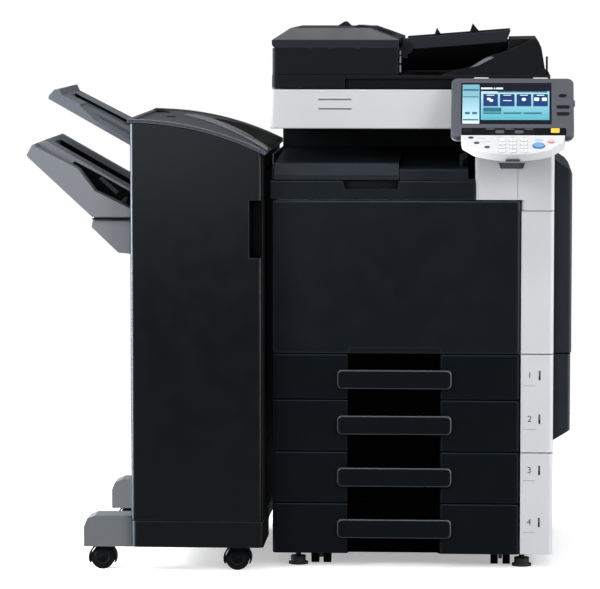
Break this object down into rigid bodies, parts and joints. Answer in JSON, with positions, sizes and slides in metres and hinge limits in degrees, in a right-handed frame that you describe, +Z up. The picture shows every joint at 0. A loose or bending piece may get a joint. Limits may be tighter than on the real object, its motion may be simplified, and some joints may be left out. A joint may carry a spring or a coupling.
{
  "type": "photocopier",
  "caption": "Floor-standing office photocopier with paper drawers, a sheet-fed scanner lid, a tilting touch panel and a stapling finisher docked on the left.",
  "frame": {"origin": "on the floor, under the centre of the bounding box", "axes": "+Z up, -Y towards the user in front of the machine, +X to the machine's right-hand side as seen from the front"},
  "size_m": [1.163, 0.874, 1.163],
  "materials": {
    "charcoal": "satin, fine moulded texture",
    "black": "matte, moulded",
    "white": "satin, fine moulded texture",
    "slate": "satin, fine moulded texture",
    "grey": "matte, moulded",
    "steel": "zinc-plated sheet",
    "glass": "clear",
    "screen": "glossy touch panel",
    "rubber": "matte",
    "key_grey": "satin",
    "key_blue": "satin",
    "key_red": "satin",
    "cartridge": "satin"
  },
  "bodies": {
    "root": {"main_frame": "steel", "left_cover": "charcoal", "rear_cover": "charcoal", "right_cover": "charcoal", "front_column": "white", "front_strips": "white", "inner_front_cover": "charcoal", "relay_unit": "charcoal", "output_tray": "charcoal", "scanner_stand": "charcoal", "scanner_housing": "white", "platen_glass": "glass", "keypad_housing": "white", "fuser_unit": "cartridge", "imaging_unit": "cartridge", "toner_bottles": "cartridge", "levelling_feet": "grey", "body_caster_forks": "steel", "finisher_frame": "steel", "finisher_side_covers": "slate", "finisher_rear_cover": "slate", "finisher_top_cover": "slate", "finisher_plinth": "slate", "finisher_outriggers": "grey", "stapler_unit": "black", "upper_exit_tray": "grey"},
    "front_door": {"front_door": "charcoal"},
    "drawer_1": {"drawer_1_front": "charcoal", "drawer_1_bin": "steel"},
    "drawer_2": {"drawer_2_front": "charcoal", "drawer_2_bin": "steel"},
    "drawer_3": {"drawer_3_front": "charcoal", "drawer_3_bin": "steel"},
    "drawer_4": {"drawer_4_front": "charcoal", "drawer_4_bin": "steel"},
    "right_door": {"right_door": "charcoal"},
    "bypass_tray": {"bypass_tray": "charcoal"},
    "adf_lid": {"adf_lid": "charcoal"},
    "adf_feed_cover": {"adf_feed_cover": "charcoal"},
    "adf_input_tray": {"adf_input_tray": "charcoal"},
    "adf_front_guide": {"adf_front_guide": "black"},
    "adf_rear_guide": {"adf_rear_guide": "black"},
    "display": {"display_housing": "slate", "display_screen": "screen"},
    "start_key": {"start_key": "key_blue"},
    "stop_key": {"stop_key": "key_red"},
    "number_keys": {"number_keys": "key_grey"},
    "scan_carriage": {"scan_carriage": "black"},
    "body_front_wheels": {"body_front_wheels": "rubber"},
    "body_rear_wheels": {"body_rear_wheels": "rubber"},
    "finisher_door": {"finisher_door": "slate"},
    "lower_exit_tray": {"lower_exit_tray": "grey"},
    "front_left_caster_hood": {"front_left_caster_hood": "grey"},
    "front_left_caster_wheels": {"front_left_caster_wheels": "rubber"},
    "rear_left_caster_hood": {"rear_left_caster_hood": "grey"},
    "rear_left_caster_wheels": {"rear_left_caster_wheels": "rubber"},
    "front_right_caster_hood": {"front_right_caster_hood": "grey"},
    "front_right_caster_wheels": {"front_right_caster_wheels": "rubber"},
    "rear_right_caster_hood": {"rear_right_caster_hood": "grey"},
    "rear_right_caster_wheels": {"rear_right_caster_wheels": "rubber"}
  },
  "joints": [
    {"name": "front_door_hinge", "type": "hinge", "parent": "root", "child": "front_door", "pos_m": [0.206, -0.205, 0.47], "axis": [1, 0, 0], "range_deg": [0, 90]},
    {"name": "drawer_1_slide", "type": "slide", "parent": "root", "child": "drawer_1", "axis": [0, -1, 0], "range_m": [0, 0.36]},
    {"name": "drawer_2_slide", "type": "slide", "parent": "root", "child": "drawer_2", "axis": [0, -1, 0], "range_m": [0, 0.36]},
    {"name": "drawer_3_slide", "type": "slide", "parent": "root", "child": "drawer_3", "axis": [0, -1, 0], "range_m": [0, 0.36]},
    {"name": "drawer_4_slide", "type": "slide", "parent": "root", "child": "drawer_4", "axis": [0, -1, 0], "range_m": [0, 0.36]},
    {"name": "right_door_hinge", "type": "hinge", "parent": "root", "child": "right_door", "pos_m": [0.5495, 0.303, 0.67], "axis": [0, 0, 1], "range_deg": [0, 80]},
    {"name": "bypass_tray_hinge", "type": "hinge", "parent": "right_door", "child": "bypass_tray", "pos_m": [0.573, 0.054, 0.572], "axis": [0, 1, 0], "range_deg": [0, 75]},
    {"name": "adf_lid_hinge", "type": "hinge", "parent": "root", "child": "adf_lid", "pos_m": [0.245, 0.363, 1.04], "axis": [-1, 0, 0], "range_deg": [0, 60]},
    {"name": "adf_feed_cover_hinge", "type": "hinge", "parent": "adf_lid", "child": "adf_feed_cover", "pos_m": [-0.05, 0.069, 1.121], "axis": [0, -1, 0], "range_deg": [0, 50]},
    {"name": "adf_input_tray_hinge", "type": "hinge", "parent": "adf_lid", "child": "adf_input_tray", "pos_m": [0.228, -0.01, 1.117], "axis": [0, -1, 0], "range_deg": [0, 50]},
    {"name": "adf_front_guide_slide", "type": "slide", "parent": "adf_input_tray", "child": "adf_front_guide", "axis": [0, 1, 0], "range_m": [0, 0.07]},
    {"name": "adf_rear_guide_slide", "type": "slide", "parent": "adf_input_tray", "child": "adf_rear_guide", "axis": [0, -1, 0], "range_m": [0, 0.07]},
    {"name": "display_tilt", "type": "hinge", "parent": "root", "child": "display", "pos_m": [0.451, -0.317, 0.925], "axis": [1, 0, 0], "range_deg": [-5, 15]},
    {"name": "start_key_press", "type": "slide", "parent": "root", "child": "start_key", "axis": [0, 0.4067, -0.9135], "range_m": [0, 0.0012], "stiffness_N_per_m": 300, "springref_m": -0.001},
    {"name": "stop_key_press", "type": "slide", "parent": "root", "child": "stop_key", "axis": [0, 0.4067, -0.9135], "range_m": [0, 0.0012], "stiffness_N_per_m": 300, "springref_m": -0.001},
    {"name": "number_keys_press", "type": "slide", "parent": "root", "child": "number_keys", "axis": [0, 0.4067, -0.9135], "range_m": [0, 0.0012], "stiffness_N_per_m": 300, "springref_m": -0.001},
    {"name": "scan_carriage_slide", "type": "slide", "parent": "root", "child": "scan_carriage", "axis": [1, 0, 0], "range_m": [0, 0.37]},
    {"name": "body_front_wheels_spin", "type": "hinge", "parent": "root", "child": "body_front_wheels", "pos_m": [0.237, -0.141, 0.024], "axis": [1, 0, 0], "continuous": true},
    {"name": "body_rear_wheels_spin", "type": "hinge", "parent": "root", "child": "body_rear_wheels", "pos_m": [0.237, 0.367, 0.024], "axis": [1, 0, 0], "continuous": true},
    {"name": "finisher_door_hinge", "type": "hinge", "parent": "root", "child": "finisher_door", "pos_m": [-0.343, -0.293, 0.53], "axis": [0, 0, -1], "range_deg": [0, 100]},
    {"name": "lower_exit_tray_lift", "type": "slide", "parent": "root", "child": "lower_exit_tray", "axis": [0, 0, 1], "range_m": [-0.38, 0]},
    {"name": "front_left_caster_swivel", "type": "hinge", "parent": "root", "child": "front_left_caster_hood", "pos_m": [-0.411, -0.243, 0.065], "axis": [0, 0, 1], "continuous": true},
    {"name": "front_left_caster_spin", "type": "hinge", "parent": "front_left_caster_hood", "child": "front_left_caster_wheels", "pos_m": [-0.419, -0.243, 0.025], "axis": [0, 1, 0], "continuous": true},
    {"name": "rear_left_caster_swivel", "type": "hinge", "parent": "root", "child": "rear_left_caster_hood", "pos_m": [-0.411, 0.317, 0.065], "axis": [0, 0, 1], "continuous": true},
    {"name": "rear_left_caster_spin", "type": "hinge", "parent": "rear_left_caster_hood", "child": "rear_left_caster_wheels", "pos_m": [-0.419, 0.317, 0.025], "axis": [0, 1, 0], "continuous": true},
    {"name": "front_right_caster_swivel", "type": "hinge", "parent": "root", "child": "front_right_caster_hood", "pos_m": [-0.122, -0.243, 0.065], "axis": [0, 0, 1], "continuous": true},
    {"name": "front_right_caster_spin", "type": "hinge", "parent": "front_right_caster_hood", "child": "front_right_caster_wheels", "pos_m": [-0.13, -0.243, 0.025], "axis": [0, 1, 0], "continuous": true},
    {"name": "rear_right_caster_swivel", "type": "hinge", "parent": "root", "child": "rear_right_caster_hood", "pos_m": [-0.122, 0.317, 0.065], "axis": [0, 0, 1], "continuous": true},
    {"name": "rear_right_caster_spin", "type": "hinge", "parent": "rear_right_caster_hood", "child": "rear_right_caster_wheels", "pos_m": [-0.13, 0.317, 0.025], "axis": [0, 1, 0], "continuous": true}
  ],
  "couplings": [
    {"joint": "adf_rear_guide_slide", "follows": "adf_front_guide_slide", "ratio": 1}
  ]
}
